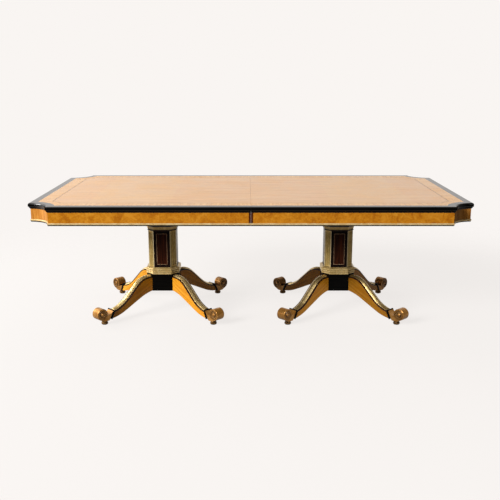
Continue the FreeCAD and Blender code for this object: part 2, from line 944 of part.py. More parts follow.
def leg_collars():
    half = leg_width / 2 + collar_proud
    z0 = lower_curve.height_on_collar() - collar_proud
    z1 = upper_curve.height_on_collar() + collar_proud
    collar = block(0, collar_thickness, -half, half, z0, z1)
    rounded = [edge for edge in collar.Edges if edge.Length > 2 * collar_thickness]
    collar = leaned(collar.makeFillet(collar_round, rounded))
    return on_four_legs([collar.cut(spigot(glue_line))])


def on_collar(height):
    """Point on the collar's outer face, at a height up its lean from its middle."""
    lean = math.radians(collar_angle)
    return (
        collar_reach + collar_thickness * math.cos(lean) - height * math.sin(lean),
        collar_middle + collar_thickness * math.sin(lean) + height * math.cos(lean),
    )


def toe():
    """Toe that stands on the pad, with a hollow saddle between the collar and the scroll."""
    heel = on_collar(lower_curve.height_on_collar())
    instep = on_collar(upper_curve.height_on_collar() - toe_step)
    pad_inner = (pad_reach - pad_collar_radius, pad_height)
    pad_outer = (pad_reach + pad_collar_radius, pad_height)
    across = pad_outer[0] - scroll_reach
    up = pad_height - scroll_axis
    turn = math.atan2(up, across) + math.acos(scroll_radius / math.hypot(across, up))
    tip = (scroll_reach + scroll_radius * math.cos(turn), scroll_axis + scroll_radius * math.sin(turn))
    saddle_end = (scroll_reach - math.sqrt(scroll_radius ** 2 - saddle_dip ** 2), scroll_axis - saddle_dip)
    chord = Vector(instep[0] - saddle_end[0], instep[1] - saddle_end[1], 0)
    below = Vector(-chord.y, chord.x, 0).normalize() * saddle_sag
    saddle = Vector(*saddle_end, 0) + chord * 0.5 + below
    path = [heel, pad_inner, pad_outer, tip, (scroll_reach, scroll_axis), saddle_end]
    path.append([(saddle.x, saddle.y), instep])
    return moved(face(path, upright).extrude(Vector(0, leg_width, 0)), y=-leg_width / 2)


def scroll_foot():
    across = Vector(0, 1, 0)
    half = leg_width / 2 + scroll_recess
    drum = Part.makeCylinder(scroll_radius, 2 * half, Vector(scroll_reach, -half, scroll_axis), across)
    drum = drum.makeFillet(scroll_round, [edge for edge in drum.Edges if edge.Closed])
    for y in (-half, half - scroll_recess):
        base = Vector(scroll_reach, y, scroll_axis)
        recess = Part.makeCylinder(scroll_radius - scroll_rim, scroll_recess, base, across)
        drum = drum.cut(recess)
    foot = drum.fuse(toe())
    dome = (boss_radius ** 2 + boss_height ** 2) / (2 * boss_height)
    for side in (-1, 1):
        dome_y = side * (half - scroll_recess + boss_height - dome)
        foot = foot.fuse(Part.makeSphere(dome, Vector(scroll_reach, dome_y, scroll_axis)))
    foot = foot.fuse(spigot())
    socket = bar(
        pad_spigot_radius + glue_line, pad_height, pad_height + pad_spigot_length + glue_line, pad_reach
    )
    return foot.cut(socket).removeSplitter()


def scroll_feet():
    return on_four_legs([scroll_foot()])


def foot_pads():
    """Small turned bun under each scroll, with a spigot up into it."""
    profile = [
        (0, 0),
        (pad_foot_radius, 0),
        [(pad_bulge_radius, pad_bulge_height), (pad_neck_radius, pad_neck_height)],
        (pad_collar_radius, pad_neck_height),
        (pad_collar_radius, pad_height),
        (pad_spigot_radius, pad_height),
        (pad_spigot_radius, pad_height + pad_spigot_length),
        (0, pad_height + pad_spigot_length),
    ]
    pad = face(profile, upright).revolve(ORIGIN, UP, 360)
    return on_four_legs([moved(pad, x=pad_reach)])


# Assembly

def half_top():
    pieces = {
        "field_veneer": field_veneer(),
        "crossband": crossband(),
        "string_line": string_line(),
        "edge_moulding": edge_moulding(),
        "apron_bead": apron_bead(),
    }
    pieces.update(apron())
    return pieces


def pedestal():
    return {
        "bearers": bearers(),
        "platform": platform(),
        "pedestal_bolts": pedestal_bolts(),
        "column_core": column_core(),
        "column_panels": column_panels(),
        "panel_lines": panel_lines(),
        "pilasters": pilasters(),
        "cap_moulding": cap_moulding(),
        "base_moulding": base_moulding(),
        "hub": hub(),
        "legs": legs(),
        "leg_crests": leg_crests(),
        "leg_strings": leg_strings(),
        "leg_collars": leg_collars(),
        "scroll_feet": scroll_feet(),
        "foot_pads": foot_pads(),
    }


def assembly():
    nodes = {}
    left = half_top()
    for name, solids in pedestal().items():
        left[name] = [moved(solid, x=pedestal_x) for solid in solids]
    for name, solids in left.items():
        nodes["left_" + name] = solids
        nodes["right_" + name] = [turned(solid, 180) for solid in solids]
    nodes["left_top_core"] = top_core(dowel_radius + dowel_clearance)
    nodes["right_top_core"] = [turned(solid, 180) for solid in top_core(dowel_radius + glue_line)]
    nodes["left_slide_rails"] = half_rails(-1)
    nodes["right_slide_rails"] = half_rails(1)
    nodes["centre_slide_rails"] = centre_rails()
    nodes["alignment_dowels"] = alignment_dowels()
    nodes["lock_plates"] = lock_plates()
    nodes["lock_keepers"] = lock_keepers()
    nodes["front_lock_lever"] = lock_lever(-1)
    nodes["back_lock_lever"] = lock_lever(1)
    return nodes


def main():
    os.makedirs("parts", exist_ok=True)
    for name, solids in assembly().items():
        shape = solids[0] if len(solids) == 1 else Part.makeCompound(solids)
        shape.exportStep("parts/" + name + ".step")


main()
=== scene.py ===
import math

import bmesh
import bpy
from mathutils import Matrix, Vector


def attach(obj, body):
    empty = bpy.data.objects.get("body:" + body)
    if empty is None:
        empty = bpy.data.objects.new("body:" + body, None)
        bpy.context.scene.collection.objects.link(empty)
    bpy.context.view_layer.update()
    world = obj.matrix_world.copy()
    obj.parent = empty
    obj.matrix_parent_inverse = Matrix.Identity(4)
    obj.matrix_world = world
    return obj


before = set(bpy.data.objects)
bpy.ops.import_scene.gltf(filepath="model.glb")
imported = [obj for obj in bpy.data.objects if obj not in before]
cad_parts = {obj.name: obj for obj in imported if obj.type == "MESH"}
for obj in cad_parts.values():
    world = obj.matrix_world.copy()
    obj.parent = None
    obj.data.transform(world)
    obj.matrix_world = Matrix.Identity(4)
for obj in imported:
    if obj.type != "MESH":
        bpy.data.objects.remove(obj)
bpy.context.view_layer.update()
scene = bpy.context.scene
scene.view_settings.view_transform = "Standard"

# Places on the table that finishes and carvings follow, in metres
half_length = 1.225
half_width = 0.635
pedestal_x = 0.545
bead_foot = 0.661
leaf_width = 0.45
band_corner = 0.25
line_blur = 0.0004
panel_line = 0.0305
panel_foot = 0.3065
panel_head = 0.4963
fillet_start = 0.0193
reed_pitch = 0.0065
reed_line = 0.0005
reed_flank = 0.0014
cap_line = 0.5218
cap_band = 0.541
scroll_reach = 0.488
scroll_axis = 0.069
scroll_floor = 0.026
scroll_eye = 0.012
scroll_face = 0.030
scroll_hollow = 0.0304
hollow_margin = 0.0006

BACKDROP = (0.947, 0.913, 0.888, 1.0)


# Shader wiring

def put(tree, kind, inputs=None, **settings):
    """Add a node; inputs gives a value or another node's output for each socket."""
    node = tree.nodes.new("ShaderNode" + kind)
    for name, value in settings.items():
        setattr(node, name, value)
    for name, value in (inputs or {}).items():
        if isinstance(value, bpy.types.NodeSocket):
            tree.links.new(value, node.inputs[name])
        else:
            node.inputs[name].default_value = value
    return node


def sums(tree, operation, first, second=0.0, third=0.0):
    """Result of one arithmetic step."""
    return put(tree, "Math", {0: first, 1: second, 2: third}, operation=operation).outputs[0]


def blend(tree, factor, first, second):
    """Colour between the first and the second."""
    return put(tree, "Mix", {0: factor, 6: first, 7: second}, data_type="RGBA").outputs[2]


def tint(tree, colour, mask, share, tone):
    """Lay up to a share of the tone over the colour, where the mask is."""
    return blend(tree, sums(tree, "MULTIPLY", mask, share), colour, tone)


def span(tree, value, low, high, out_low=0.0, out_high=1.0):
    """Smooth step from out_low to out_high while the value goes from low to high."""
    inputs = {0: value, 1: low, 2: high, 3: out_low, 4: out_high}
    return put(tree, "MapRange", inputs, interpolation_type="SMOOTHSTEP").outputs[0]


def above(tree, value, limit, share=1.0):
    """Share where the value is above the limit, 0 where it is below, with a soft border."""
    return span(tree, value, limit - line_blur, limit + line_blur, 0.0, share)


def below(tree, value, limit):
    """1 where the value is below the limit, 0 where it is above, with a soft border."""
    return span(tree, value, limit + line_blur, limit - line_blur)


def noise(tree, place, scale, detail=3.0, roughness=0.55, distortion=0.0):
    inputs = {"Vector": place, "Scale": scale, "Detail": detail}
    inputs.update({"Roughness": roughness, "Distortion": distortion})
    return put(tree, "TexNoise", inputs).outputs["Fac"]


def object_place(tree):
    return put(tree, "TexCoord").outputs["Object"]


def axes(tree, place):
    return put(tree, "SeparateXYZ", {0: place}).outputs


def together(tree, x, y, z):
    return put(tree, "CombineXYZ", {0: x, 1: y, 2: z}).outputs[0]


def rgb(red, green, blue):
    return (red, green, blue, 1.0)


# Effects that several finishes share

def new_effect(name, takes, gives):
    """Empty shader group; returns it with its input and output sockets."""
    group = bpy.data.node_groups.new(name, "ShaderNodeTree")
    for socket, kind, value in takes:
        made = group.interface.new_socket(name=socket, in_out="INPUT", socket_type="NodeSocket" + kind)
        if value is not None:
            made.default_value = value
    for socket in gives:
        group.interface.new_socket(name=socket, in_out="OUTPUT", socket_type="NodeSocketFloat")
    enter = group.nodes.new("NodeGroupInput")
    leave = group.nodes.new("NodeGroupOutput")
    return group, enter.outputs, leave.inputs


def timber_grain_effect():
    """Streaks, pores and mottling of wood whose grain runs along the X of Position."""
    takes = [("Position", "Vector", None), ("Length", "Float", 0.05), ("Fineness", "Float", 55.0)]
    group, enter, leave = new_effect("timber_grain", takes, ["Streaks", "Pores", "Mottle"])
    stretch = together(group, enter["Length"], 1.0, 1.0)
    drawn = put(group, "VectorMath", {0: enter["Position"], 1: stretch}, operation="MULTIPLY").outputs[0]
    streaks = noise(group, drawn, enter["Fineness"], 6.0, 0.6, 0.4)
    fine = noise(group, drawn, sums(group, "MULTIPLY", enter["Fineness"], 9.0), 2.0)
    cloud = noise(group, enter["Position"], sums(group, "MULTIPLY", enter["Fineness"], 0.22), 3.0, 0.6, 0.8)
    group.links.new(span(group, streaks, 0.36, 0.64), leave["Streaks"])
    group.links.new(span(group, fine, 0.56, 0.68), leave["Pores"])
    group.links.new(span(group, cloud, 0.36, 0.64), leave["Mottle"])
    return group


def edge_wear_effect():
    """Ragged rubbing along the edges, within Reach of them."""
    takes = [("Reach", "Float", 0.0015), ("Patches", "Float", 60.0)]
    group, enter, leave = new_effect("edge_wear", takes, ["Worn"])
    soft = put(group, "Bevel", {"Radius": enter["Reach"]}, samples=4).outputs[0]
    sharp = put(group, "NewGeometry").outputs["Normal"]
    turn = put(group, "VectorMath", {0: soft, 1: sharp}, operation="DOT_PRODUCT").outputs["Value"]
    rim = span(group, turn, 0.99, 0.88)
    ragged = span(group, noise(group, object_place(group), enter["Patches"], 4.0), 0.4, 0.62)
    group.links.new(sums(group, "MULTIPLY", rim, ragged), leave["Worn"])
    return group


def recess_toning_and_shade_effect():
    """Mask of hollows about as deep as Depth and of gaps between nearby parts: dark glaze and dust that stay
    there, and painted shade where they are shaded.
    """
    takes = [("Depth", "Float", 0.006)]
    group, enter, leave = new_effect("recess_toning_and_shade", takes, ["Hollow"])
    # Ambient occlusion finds the hollows; the darkening it gives is partly painted shade.
    lit = put(group, "AmbientOcclusion", {"Distance": enter["Depth"]}, samples=6).outputs["AO"]
    group.links.new(span(group, lit, 0.97, 0.55), leave["Hollow"])
    return group


def polish_effect():
    """Roughness between Low and High, in the soft smears that polishing and hands leave."""
    takes = [("Low", "Float", 0.15), ("High", "Float", 0.3), ("Smears", "Float", 14.0)]
    group, enter, leave = new_effect("polish", takes, ["Roughness"])
    place = object_place(group)
    broad = noise(group, place, enter["Smears"], 3.0, 0.6, 0.6)
    fine = noise(group, place, sums(group, "MULTIPLY", enter["Smears"], 11.0), 2.0)
    both = sums(group, "MULTIPLY_ADD", fine, 0.35, sums(group, "MULTIPLY", broad, 0.65))
    group.links.new(span(group, both, 0.36, 0.64, enter["Low"], enter["High"]), leave["Roughness"])
    return group


def pedestal_place_effect():
    """Distance from the pedestal's axis and from the diagonal that a leg lies on."""
    group, _, leave = new_effect("pedestal_place", [], ["Reach", "Across", "Height"])
    place = axes(group, object_place(group))
    out_x = sums(group, "SUBTRACT", sums(group, "ABSOLUTE", place["X"]), pedestal_x)
    out_y = place["Y"]
    square = sums(group, "MULTIPLY_ADD", out_x, out_x, sums(group, "MULTIPLY", out_y, out_y))
    apart = sums(group, "SUBTRACT", sums(group, "ABSOLUTE", out_x), sums(group, "ABSOLUTE", out_y))
    group.links.new(sums(group, "SQRT", square), leave["Reach"])
    group.links.new(sums(group, "MULTIPLY", apart, math.sqrt(0.5)), leave["Across"])
    group.links.new(place["Z"], leave["Height"])
    return group


timber_grain = timber_grain_effect()
edge_wear = edge_wear_effect()
recess_toning_and_shade = recess_toning_and_shade_effect()
polish = polish_effect()
pedestal_place = pedestal_place_effect()


def grain_of(tree, place, length, fineness):
    inputs = {"Position": place, "Length": length, "Fineness": fineness}
    return put(tree, "Group", inputs, node_tree=timber_grain).outputs


def worn_edges(tree, reach, patches=60.0):
    return put(tree, "Group", {"Reach": reach, "Patches": patches}, node_tree=edge_wear).outputs["Worn"]


def hollows(tree, depth):
    return put(tree, "Group", {"Depth": depth}, node_tree=recess_toning_and_shade).outputs["Hollow"]


def polished(tree, low, high, smears=14.0):
    inputs = {"Low": low, "High": high, "Smears": smears}
    return put(tree, "Group", inputs, node_tree=polish).outputs["Roughness"]


def round_pedestal(tree):
    return put(tree, "Group", node_tree=pedestal_place).outputs


# Finishes

def new_finish(name, **constants):
    """Material with its constant values on the shader's own sockets."""
    material = bpy.data.materials.new(name)
    material.use_nodes = True
    shader = material.node_tree.nodes["Principled BSDF"]
    for socket, value in constants.items():
        shader.inputs[socket.replace("_", " ")].default_value = value
    return material, material.node_tree, shader


def dress(tree, shader, colour, roughness, height, depth, metallic=None):
    """Wire the colour, roughness and relief of a finish to its shader."""
    tree.links.new(colour, shader.inputs["Base Color"])
    tree.links.new(roughness, shader.inputs["Roughness"])
    if metallic is not None:
        tree.links.new(metallic, shader.inputs["Metallic"])
    bump = put(tree, "Bump", {"Strength": 0.6, "Distance": depth, "Height": height})
    tree.links.new(bump.outputs[0], shader.inputs["Normal"])


def field_veneer_finish():
    """Golden veneer laid lengthwise, in leaves that are lighter and darker by turns: painted sheen, as
    book-matched leaves catch the light by turns.
    """
    material, tree, shader = new_finish("field_veneer", IOR=1.5, Specular_IOR_Level=0.5)
    place = object_place(tree)
    grain = grain_of(tree, place, 0.05, 55.0)
    x = sums(tree, "ABSOLUTE", axes(tree, place)["X"])
    # Every other leaf is tinted: painted sheen, for the way book-matched leaves catch the light by turns.
    leaf = sums(tree, "MODULO", sums(tree, "FLOOR", sums(tree, "DIVIDE", x, leaf_width)), 2.0)
    colour = blend(tree, grain["Streaks"], rgb(0.60, 0.29, 0.085), rgb(0.74, 0.41, 0.15))
    colour = tint(tree, colour, grain["Mottle"], 0.4, rgb(0.70, 0.33, 0.11))
    colour = tint(tree, colour, leaf, 0.22, rgb(0.72, 0.43, 0.13))
    colour = tint(tree, colour, grain["Pores"], 0.16, rgb(0.36, 0.15, 0.03))
    dress(tree, shader, colour, polished(tree, 0.16, 0.26, 5.0), grain["Pores"], depth=0.00003)
    return material


def crossband_finish():
    """Satinwood band whose grain runs square to the edge, also round the scooped corners."""
    material, tree, shader = new_finish("crossband", IOR=1.5, Specular_IOR_Level=0.5)
    place = axes(tree, object_place(tree))
    in_x = sums(tree, "SUBTRACT", half_length, sums(tree, "ABSOLUTE", place["X"]))
    in_y = sums(tree, "SUBTRACT", half_width, sums(tree, "ABSOLUTE", place["Y"]))
    at_end = sums(tree, "LESS_THAN", in_x, in_y)
    along = sums(tree, "MULTIPLY_ADD", at_end, sums(tree, "SUBTRACT", place["Y"], place["X"]), place["X"])
    inward = sums(tree, "MINIMUM", in_x, in_y)
    square = sums(tree, "MULTIPLY_ADD", in_x, in_x, sums(tree, "MULTIPLY", in_y, in_y))
    reach = sums(tree, "SQRT", square)
    in_corner = sums(tree, "LESS_THAN", reach, band_corner)
    turn = sums(tree, "MULTIPLY", sums(tree, "ARCTAN2", in_y, in_x), band_corner)
    along = sums(tree, "MULTIPLY_ADD", in_corner, sums(tree, "SUBTRACT", turn, along), along)
    inward = sums(tree, "MULTIPLY_ADD", in_corner, sums(tree, "SUBTRACT", reach, inward), inward)
    grain = grain_of(tree, together(tree, inward, along, at_end), 0.07, 75.0)
    colour = blend(tree, grain["Streaks"], rgb(0.62, 0.28, 0.06), rgb(0.80, 0.44, 0.13))
    colour = tint(tree, colour, grain["Mottle"], 0.3, rgb(0.70, 0.34, 0.09))
    colour = tint(tree, colour, grain["Pores"], 0.16, rgb(0.36, 0.15, 0.03))
    dress(tree, shader, colour, polished(tree, 0.16, 0.26, 5.0), grain["Pores"], depth=0.00003)
    return material


def ebonised_finish(name, mirror, low, high):
    """Black wood, rubbed brown along its edges."""
    material, tree, shader = new_finish(name, IOR=1.5, Specular_IOR_Level=mirror)
    place = object_place(tree)
    grain = grain_of(tree, place, 0.06, 90.0)
    colour = blend(tree, grain["Streaks"], rgb(0.0007, 0.0006, 0.0005), rgb(0.0020, 0.0016, 0.0012))
    colour = tint(tree, colour, worn_edges(tree, 0.0010), 0.25, rgb(0.030, 0.011, 0.004))
    dress(tree, shader, colour, polished(tree, low, high), grain["Pores"], depth=0.00003)
    return material


def birdseye_finish():
    """Golden maple with curls and small eyes, under a gloss lacquer."""
    material, tree, shader = new_finish("birdseye_maple", IOR=1.5, Specular_IOR_Level=0.25)
    place = object_place(tree)
    curl = noise(tree, place, 42.0, 4.0, 0.6, 1.6)
    ripple = noise(tree, place, 85.0, 3.0, 0.55, 2.2)
    cloud = noise(tree, place, 15.0, 5.0, 0.62, 1.2)
    warp = put(tree, "TexNoise", {"Vector": place, "Scale": 40.0, "Detail": 2.0}).outputs["Color"]
    shift = put(tree, "VectorMath", {0: warp, 1: (0.012, 0.012, 0.012)}, operation="MULTIPLY").outputs[0]
    bent = put(tree, "VectorMath", {0: place, 1: shift}, operation="ADD").outputs[0]
    eyes = put(tree, "TexVoronoi", {"Vector": bent, "Scale": 66.0}, feature="F1").outputs
    chosen = span(tree, axes(tree, eyes["Color"])["X"], 0.48, 0.52)
    spot = sums(tree, "MULTIPLY", span(tree, eyes["Distance"], 0.2, 0.06), chosen)
    ring = sums(tree, "MULTIPLY", span(tree, eyes["Distance"], 0.42, 0.24), chosen)
    colour = blend(tree, span(tree, curl, 0.35, 0.65), rgb(0.35, 0.113, 0.004), rgb(0.44, 0.158, 0.007))
    colour = blend(tree, span(tree, ripple, 0.4, 0.66, 0.0, 0.4), colour, rgb(0.53, 0.215, 0.013))
    colour = blend(tree, span(tree, cloud, 0.36, 0.5, 0.6, 0.0), colour, rgb(0.28, 0.078, 0.003))
    colour = blend(tree, span(tree, cloud, 0.5, 0.66, 0.0, 0.6), colour, rgb(0.56, 0.235, 0.020))
    colour = tint(tree, colour, ring, 0.3, rgb(0.60, 0.27, 0.025))
    colour = tint(tree, colour, spot, 0.45, rgb(0.22, 0.06, 0.004))
    colour = tint(tree, colour, worn_edges(tree, 0.0012), 0.4, rgb(0.25, 0.08, 0.006))
    dress(tree, shader, colour, polished(tree, 0.16, 0.3), ring, depth=0.00005)
    return material


def upright_maple_finish():
    """The same maple with its grain standing upright, as it is bent round the scooped corners."""
    material, tree, shader = new_finish("upright_maple", IOR=1.5, Specular_IOR_Level=0.25)
    place = axes(tree, object_place(tree))
    grain = grain_of(tree, together(tree, place["Z"], place["X"], place["Y"]), 0.1, 110.0)
    colour = blend(tree, grain["Streaks"], rgb(0.34, 0.115, 0.012), rgb(0.57, 0.25, 0.048))
    colour = tint(tree, colour, grain["Mottle"], 0.4, rgb(0.44, 0.18, 0.03))
    colour = tint(tree, colour, grain["Pores"], 0.2, rgb(0.20, 0.05, 0.004))
    dress(tree, shader, colour, polished(tree, 0.16, 0.3), grain["Pores"], depth=0.00004)
    return material


def leg_satinwood_finish():
    """Golden satinwood of the legs, with the grain running out and down along each leg."""
    material, tree, shader = new_finish("leg_satinwood", IOR=1.5, Specular_IOR_Level=0.2)
    spot = round_pedestal(tree)
    rise = sums(tree, "MULTIPLY_ADD", spot["Reach"], 0.45, spot["Height"])
    grain = grain_of(tree, together(tree, spot["Reach"], rise, spot["Across"]), 0.07, 80.0)
    colour = blend(tree, grain["Streaks"], rgb(0.48, 0.168, 0.005), rgb(0.70, 0.312, 0.026))
    colour = tint(tree, colour, grain["Mottle"], 0.35, rgb(0.62, 0.26, 0.014))
    colour = tint(tree, colour, grain["Pores"], 0.2, rgb(0.28, 0.085, 0.006))
    colour = tint(tree, colour, worn_edges(tree, 0.002), 0.5, rgb(0.24, 0.075, 0.006))
    dress(tree, shader, colour, polished(tree, 0.18, 0.32), grain["Pores"], depth=0.00004)
    return material


def leg_stringing_finish():
    """Dark red-brown bead along the corners of the legs."""
    material, tree, shader = new_finish("leg_stringing", IOR=1.5, Specular_IOR_Level=0.3)
    spot = round_pedestal(tree)
    grain = grain_of(tree, together(tree, spot["Reach"], spot["Height"], spot["Across"]), 0.06, 140.0)
    colour = blend(tree, grain["Streaks"], rgb(0.006, 0.0016, 0.0008), rgb(0.030, 0.0065, 0.0025))
    colour = tint(tree, colour, worn_edges(tree, 0.0012), 0.4, rgb(0.08, 0.025, 0.009))
    dress(tree, shader, colour, polished(tree, 0.14, 0.28), grain["Pores"], depth=0.00004)
    return material


def rosewood_finish():
    """Dark rosewood, almost black, but redder in the apron's posts and inside a panel's brass line."""
    material, tree, shader = new_finish("rosewood", IOR=1.5, Specular_IOR_Level=0.12)
    place = axes(tree, object_place(tree))
    grain = grain_of(tree, together(tree, place["Z"], place["X"], place["Y"]), 0.06, 120.0)
    out_x = sums(tree, "SUBTRACT", sums(tree, "ABSOLUTE", place["X"]), pedestal_x)
    across = sums(tree, "MINIMUM", sums(tree, "ABSOLUTE", out_x), sums(tree, "ABSOLUTE", place["Y"]))
    inside = sums(tree, "LESS_THAN", across, panel_line)
    inside = sums(tree, "MULTIPLY", inside, sums(tree, "GREATER_THAN", place["Z"], panel_foot))
    inside = sums(tree, "MULTIPLY", inside, sums(tree, "LESS_THAN", place["Z"], panel_head))
    inside = sums(tree, "MAXIMUM", inside, sums(tree, "GREATER_THAN", place["Z"], bead_foot))
    rim = blend(tree, grain["Streaks"], rgb(0.004, 0.002, 0.0016), rgb(0.014, 0.005, 0.003))
    heart = blend(tree, grain["Streaks"], rgb(0.018, 0.0034, 0.0012), rgb(0.085, 0.018, 0.005))
    heart = tint(tree, heart, grain["Mottle"], 0.5, rgb(0.030, 0.007, 0.0025))
    colour = blend(tree, inside, rim, heart)
    colour = tint(tree, colour, worn_edges(tree, 0.0012), 0.4, rgb(0.09, 0.03, 0.012))
    dress(tree, shader, colour, polished(tree, 0.14, 0.28), grain["Pores"], depth=0.00005)
    return material


def gilt(name, leaf, pale, glaze_and_shade, roughness, wear, shine, spotted=0.5):
    """Gold leaf over carved wood: red bole where it is rubbed through, and in the hollows glaze with painted
    shade.
    """
    material, tree, shader = new_finish(name, IOR=1.5, Specular_IOR_Level=0.4)
    place = object_place(tree)
    cloud = noise(tree, place, 38.0, 4.0, 0.6, 0.8)
    laps = put(tree, "TexVoronoi", {"Vector": place, "Scale": 55.0}, feature="DISTANCE_TO_EDGE").outputs
    lap = span(tree, laps["Distance"], 0.0, 0.03)
    hollow = hollows(tree, 0.010)
    worn = sums(tree, "MULTIPLY", worn_edges(tree, 0.0016, 90.0), wear)
    spots = span(tree, noise(tree, place, 260.0, 3.0), 0.66, 0.74)
    colour = blend(tree, span(tree, cloud, 0.36, 0.64), leaf, pale)
    colour = blend(tree, sums(tree, "MULTIPLY_ADD", lap, -0.12, 0.12), colour, glaze_and_shade)
    colour = tint(tree, colour, spots, spotted, rgb(0.17, 0.045, 0.014))
    colour = blend(tree, worn, colour, rgb(0.26, 0.07, 0.022))
    # Glaze and painted shade: darker and less metallic in hollows and in gaps between parts.
    colour = tint(tree, colour, hollow, 0.85, glaze_and_shade)
    covered = sums(tree, "MAXIMUM", sums(tree, "MAXIMUM", worn, hollow), sums(tree, "MULTIPLY", spots, 0.6))
    metallic = span(tree, covered, 0.1, 0.9, shine, 0.1)
    relief = sums(tree, "MULTIPLY_ADD", lap, 0.5, cloud)
    dress(tree, shader, colour, polished(tree, *roughness, 30.0), relief, depth=0.00004, metallic=metallic)
    return material, tree, shader


def overlay(tree, shader, mask, tone):
    """Lay the tone over the colour that the shader has so far."""
    so_far = shader.inputs["Base Color"].links[0].from_socket
    tree.links.new(blend(tree, mask, so_far, tone), shader.inputs["Base Color"])


def paint_over(tree, shader, mask, tone):
    """Lay a tone over gold, without the metal under it; used for black paint and for painted shade."""
    overlay(tree, shader, mask, tone)
    shine = shader.inputs["Metallic"].links[0].from_socket
    bare = sums(tree, "SUBTRACT", 1.0, mask)
    tree.links.new(sums(tree, "MULTIPLY", bare, shine), shader.inputs["Metallic"])


def gilding_finish():
    """Gilding of the moulding at the column's foot."""
    leaf = rgb(0.61, 0.41, 0.14)
    pale = rgb(0.78, 0.58, 0.26)
    glaze_and_shade = rgb(0.06, 0.032, 0.010)
    return gilt("gilding", leaf, pale, glaze_and_shade, (0.22, 0.36), wear=0.3, shine=0.5, spotted=0.25)[0]


def crest_gilding_finish():
    """Gilding of the reeds on the legs, with painted shade as dark lines along the valleys between them."""
    leaf = rgb(0.67, 0.47, 0.18)
    pale = rgb(0.83, 0.63, 0.29)
    glaze_and_shade = rgb(0.09, 0.05, 0.016)
    material, tree, shader = gilt(
        "crest_gilding", leaf, pale, glaze_and_shade, (0.28, 0.38), wear=0.2, shine=0.80, spotted=0.08
    )
    across = round_pedestal(tree)["Across"]
    # Painted shade: dark lines laid along the valleys between the reeds.
    valley = sums(tree, "PINGPONG", sums(tree, "ABSOLUTE", across), reed_pitch / 2)
    line = span(tree, valley, reed_line, reed_flank, 0.8, 0.0)
    overlay(tree, shader, line, glaze_and_shade)
    return material


def cap_gilding_finish():
    """Gilding of the cap, with painted shade as a dark band across its upper cove and as a dark line at its
    foot.
    """
    leaf = rgb(0.46, 0.29, 0.085)
    pale = rgb(0.58, 0.40, 0.15)
    glaze_and_shade = rgb(0.06, 0.032, 0.010)
    material, tree, shader = gilt(
        "cap_gilding", leaf, pale, glaze_and_shade, (0.26, 0.42), wear=0.3, shine=0.4, spotted=0.25
    )
    height = axes(tree, object_place(tree))["Z"]
    # Painted shade: the band under the apron and the line where the cap meets the column below.
    dark = sums(tree, "MAXIMUM", above(tree, height, cap_band), below(tree, height, cap_line))
    paint_over(tree, shader, dark, rgb(0.022, 0.005, 0.002))
    return material


def antique_gilding_finish():
    """Toned gilding of the scrolls, with painted shade in the sunk face round the eye."""
    leaf = rgb(0.28, 0.120, 0.020)
    pale = rgb(0.38, 0.185, 0.046)
    glaze_and_shade = rgb(0.012, 0.005, 0.002)
    material, tree, shader = gilt(
        "antique_gilding", leaf, pale, glaze_and_shade, (0.24, 0.34), wear=0.3, shine=0.6, spotted=0.10
    )
    spot = round_pedestal(tree)
    along = sums(tree, "SUBTRACT", spot["Reach"], scroll_reach)
    rise = sums(tree, "SUBTRACT", spot["Height"], scroll_axis)
    square = sums(tree, "MULTIPLY_ADD", along, along, sums(tree, "MULTIPLY", rise, rise))
    # Painted shade in the sunk face round the eye, darkest near the eye.
    sunk = span(tree, sums(tree, "SQRT", square), scroll_eye, scroll_face, 0.9, 0.25)
    across = sums(tree, "ABSOLUTE", spot["Across"])
    sunk = sums(tree, "MULTIPLY", sunk, sums(tree, "LESS_THAN", across, scroll_floor + hollow_margin))
    sunk = sums(tree, "MULTIPLY", sunk, sums(tree, "LESS_THAN", square, scroll_hollow ** 2))
    overlay(tree, shader, sunk, glaze_and_shade)
    return material


def bronzed_finish():
    """Dark bronzed wood of the pads under the scrolls."""
    leaf = rgb(0.13, 0.065, 0.018)
    pale = rgb(0.24, 0.13, 0.045)
    glaze_and_shade = rgb(0.018, 0.009, 0.004)
    return gilt("bronzed_wood", leaf, pale, glaze_and_shade, (0.24, 0.40), wear=0.3, shine=0.6)[0]


def toned_gilding_finish():
    """Old gilding of the pilasters, toned down in the flutes and paler on the fillets beside them."""
    leaf = rgb(0.60, 0.40, 0.11)
    pale = rgb(0.78, 0.56, 0.20)
    glaze_and_shade = rgb(0.10, 0.06, 0.018)
    material, tree, shader = gilt("toned_gilding", leaf, pale, glaze_and_shade, (0.30, 0.46), wear=0.3, shine=0.4)
    across = sums(tree, "ABSOLUTE", round_pedestal(tree)["Across"])
    overlay(tree, shader, above(tree, across, fillet_start, 0.85), rgb(0.80, 0.66, 0.38))
    return material


def beaded_gilding_finish():
    """Gilt bead with a black fillet under it."""
    leaf = rgb(0.82, 0.56, 0.23)
    pale = rgb(0.94, 0.74, 0.40)
    glaze_and_shade = rgb(0.10, 0.055, 0.016)
    material, tree, shader = gilt("beaded_gilding", leaf, pale, glaze_and_shade, (0.26, 0.42), wear=0.3, shine=0.5)
    height = axes(tree, object_place(tree))["Z"]
    paint_over(tree, shader, below(tree, height, bead_foot), rgb(0.006, 0.005, 0.004))
    return material


